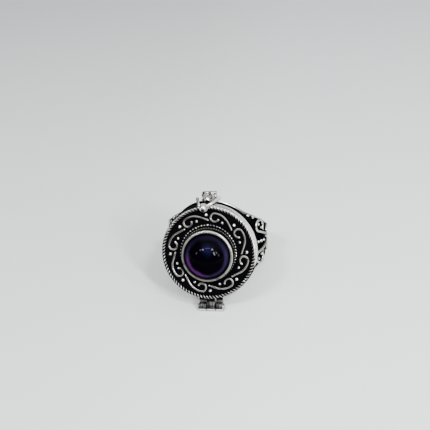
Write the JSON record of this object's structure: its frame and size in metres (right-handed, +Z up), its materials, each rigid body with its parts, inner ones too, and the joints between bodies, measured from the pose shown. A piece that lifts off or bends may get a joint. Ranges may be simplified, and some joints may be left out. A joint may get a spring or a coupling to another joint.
{
  "type": "poison ring",
  "caption": "Silver locket ring: a hinged round lid with a dark purple cabochon, scroll wirework and granules, on a wide saddle band.",
  "frame": {"origin": "on the table under the middle of the ring as it lies on its hinge side", "axes": "+Z up; +X to the right across the shoulders and along the hinge; -Y the side that the lid faces, about 25 degrees upwards"},
  "size_m": [0.024, 0.03, 0.0239],
  "materials": {
    "silver": "polished silver with blackened recesses",
    "lid_silver": "polished raised wire over a blackened ground",
    "pin_silver": "polished",
    "amethyst": "polished, very dark purple"
  },
  "bodies": {
    "shank": {"ring": "silver", "hinge_pin": "pin_silver"},
    "lid": {"lid": "lid_silver", "stone": "amethyst"}
  },
  "joints": [
    {"name": "lid_hinge", "type": "hinge", "parent": "shank", "child": "lid", "pos_m": [0, -0.01368, 0.00095], "axis": [1, 0, 0], "range_deg": [0, 100]}
  ]
}
